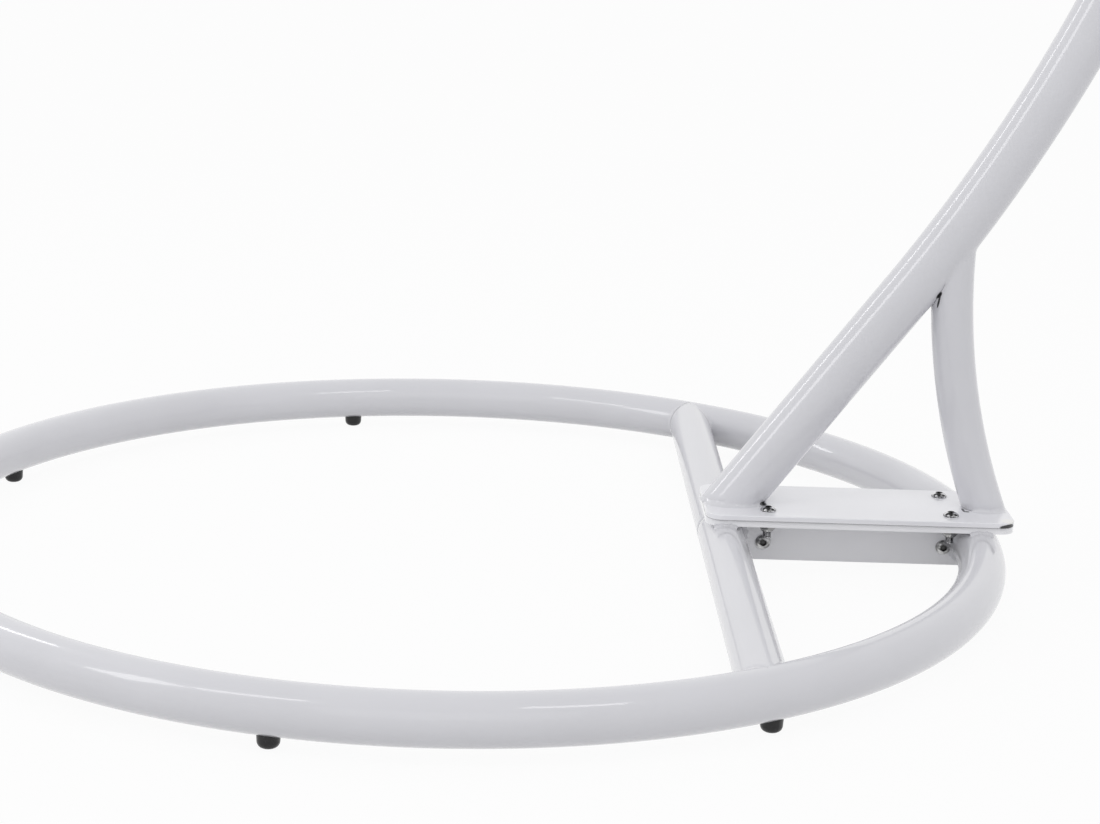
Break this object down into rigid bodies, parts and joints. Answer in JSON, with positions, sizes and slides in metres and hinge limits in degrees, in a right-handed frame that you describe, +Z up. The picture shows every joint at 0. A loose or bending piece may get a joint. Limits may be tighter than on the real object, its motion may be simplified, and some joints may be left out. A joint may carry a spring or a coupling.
{
  "type": "hanging chair stand",
  "caption": "White steel stand for a hanging chair: split base ring with cross bar, bolted foot bracket, C-shaped post with bowed brace, swivel and snap hook.",
  "frame": {"origin": "on the floor under the centre of the base ring", "axes": "+Z up, +X from the ring's centre towards the foot of the post, the split of the base in the XZ plane"},
  "size_m": [1.2116, 1.0168, 1.8077],
  "materials": {
    "white_coat": "gloss white powder coat",
    "bright_steel": "bright stainless fasteners",
    "zinc_steel": "zinc plated steel",
    "black_rubber": "moulded black rubber",
    "white_plastic": "moulded white plug"
  },
  "bodies": {
    "stand": {"front_half_ring": "white_coat", "back_half_ring": "white_coat", "front_cross_tube": "white_coat", "back_cross_tube": "white_coat", "front_angle_bracket": "white_coat", "back_angle_bracket": "white_coat", "web_bolts": "bright_steel", "web_nuts": "bright_steel", "foot_plate": "white_coat", "plate_bolts": "bright_steel", "plate_nuts": "bright_steel", "lower_post": "white_coat", "middle_post": "white_coat", "upper_bow": "white_coat", "lower_sleeve": "zinc_steel", "upper_sleeve": "zinc_steel", "sleeve_bolts": "bright_steel", "sleeve_cap_nuts": "bright_steel", "brace_tube": "white_coat", "ring_sleeve": "zinc_steel", "ring_sleeve_screws": "bright_steel", "rubber_feet": "black_rubber", "bow_end_cap": "white_plastic", "hanger_lug": "white_coat"},
    "clevis": {"swivel_clevis": "zinc_steel", "clevis_pin": "bright_steel", "clevis_pin_ring": "bright_steel", "thrust_washer": "zinc_steel"},
    "eye": {"swivel_eye": "zinc_steel"},
    "hook": {"snap_hook": "zinc_steel", "gate_pin": "bright_steel"},
    "gate": {"snap_gate": "zinc_steel"}
  },
  "joints": [
    {"name": "clevis_swing", "type": "hinge", "parent": "stand", "child": "clevis", "pos_m": [-0.01109, 0, 1.72515], "axis": [0, 1, 0], "range_deg": [-60, 60]},
    {"name": "swivel_turn", "type": "hinge", "parent": "clevis", "child": "eye", "pos_m": [-0.01109, 0, 1.69115], "axis": [0, 0, 1], "continuous": true},
    {"name": "hook_swing", "type": "hinge", "parent": "eye", "child": "hook", "pos_m": [-0.01109, 0, 1.64465], "axis": [1, 0, 0], "range_deg": [-60, 60]},
    {"name": "gate_open", "type": "hinge", "parent": "hook", "child": "gate", "pos_m": [-0.01109, -0.013, 1.60145], "axis": [-1, 0, 0], "range_deg": [0, 25], "stiffness_Nm_per_rad": 0.05, "springref_deg": -17.19}
  ]
}
